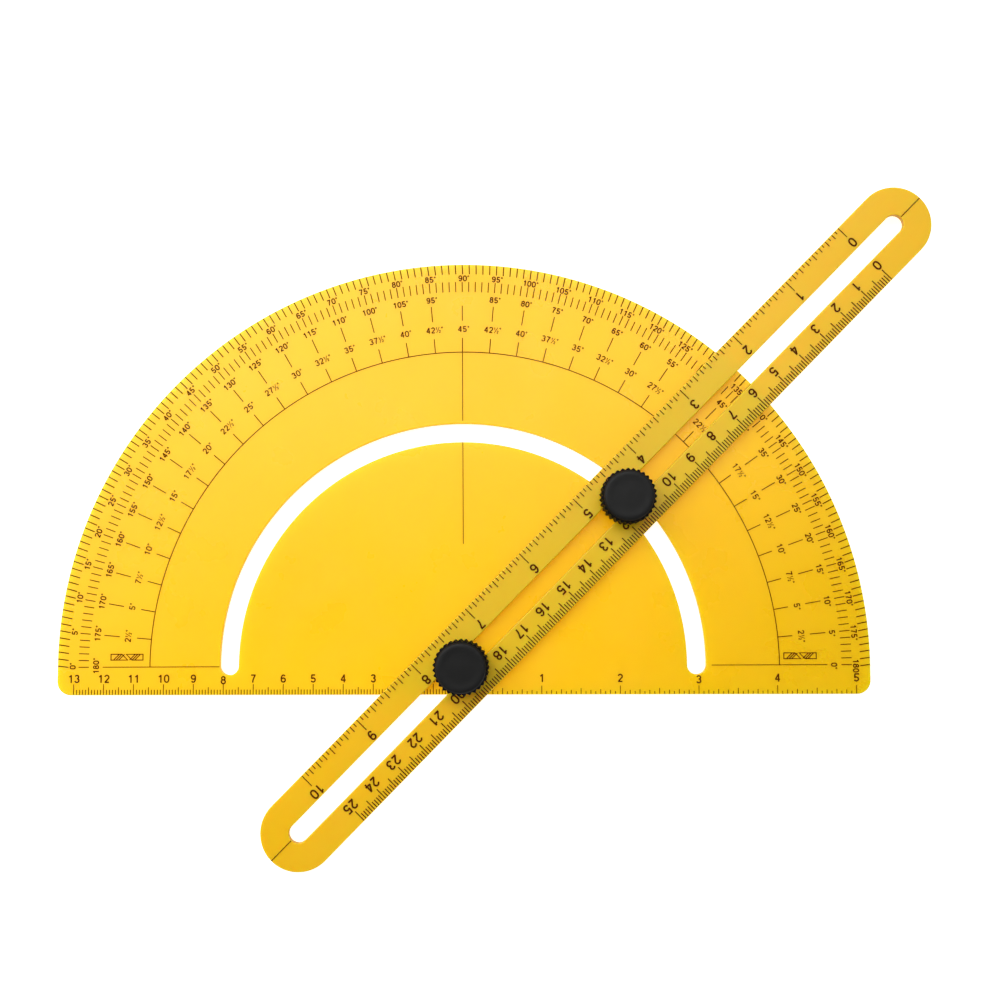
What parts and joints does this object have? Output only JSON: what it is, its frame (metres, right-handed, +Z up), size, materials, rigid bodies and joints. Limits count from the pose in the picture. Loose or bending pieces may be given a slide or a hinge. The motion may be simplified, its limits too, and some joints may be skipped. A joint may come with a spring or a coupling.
{
  "type": "protractor with swing arm",
  "caption": "Half-round protractor plate with an arc slot and a slotted ruler arm across it, clamped by two ribbed knobs on screws; it sets and measures angles.",
  "frame": {"origin": "on the pivot axis, at the flat underside of the pivot screw's head, which is what the part stands on", "axes": "+Z up through the pivot knob, +Y from the straight edge to the 90 degree mark, +X to the side that the arm's long end leans to at rest"},
  "size_m": [0.2905, 0.2249, 0.02],
  "materials": {
    "plate_plastic": "smooth translucent yellow sheet, light satin gloss",
    "arm_plastic": "smooth translucent yellow sheet, light satin gloss",
    "knob_plastic": "moulded black plastic, fine matte texture",
    "screw_steel": "zinc-plated steel",
    "washer_steel": "zinc-plated steel",
    "washer_nylon": "natural nylon",
    "insert_brass": "machined brass"
  },
  "bodies": {
    "protractor": {"protractor_plate": "plate_plastic"},
    "swing": {"pivot_screw": "screw_steel", "clamp_screw": "screw_steel", "pivot_friction_washer": "washer_nylon", "clamp_friction_washer": "washer_nylon"},
    "arm": {"swing_arm": "arm_plastic"},
    "pivot_washer": {"pivot_knob_washer": "washer_steel"},
    "pivot_knob": {"pivot_knob": "knob_plastic", "pivot_knob_insert": "insert_brass"},
    "clamp_washer": {"clamp_knob_washer": "washer_steel"},
    "clamp_knob": {"clamp_knob": "knob_plastic", "clamp_knob_insert": "insert_brass"}
  },
  "joints": [
    {"name": "arm_swing", "type": "hinge", "parent": "protractor", "child": "swing", "pos_m": [0, 0, 0], "axis": [0, 0, 1], "range_deg": [-45.38, 134.62]},
    {"name": "arm_slide", "type": "slide", "parent": "swing", "child": "arm", "axis": [0.7024, 0.7118, 0], "range_m": [-0.1262, 0.0738]},
    {"name": "pivot_knob_lift", "type": "slide", "parent": "swing", "child": "pivot_washer", "axis": [0, 0, 1], "range_m": [0, 0.0012]},
    {"name": "pivot_knob_turn", "type": "hinge", "parent": "pivot_washer", "child": "pivot_knob", "pos_m": [0, 0, 0.0082], "axis": [0, 0, 1], "range_deg": [0, 540]},
    {"name": "clamp_knob_lift", "type": "slide", "parent": "swing", "child": "clamp_washer", "axis": [0, 0, 1], "range_m": [0, 0.0012]},
    {"name": "clamp_knob_turn", "type": "hinge", "parent": "clamp_washer", "child": "clamp_knob", "pos_m": [0.05409, 0.05481, 0.0082], "axis": [0, 0, 1], "range_deg": [0, 540]}
  ],
  "couplings": [
    {"joint": "pivot_knob_turn", "follows": "pivot_knob_lift", "rad_per_m": 7854},
    {"joint": "clamp_knob_turn", "follows": "clamp_knob_lift", "rad_per_m": 7854}
  ]
}
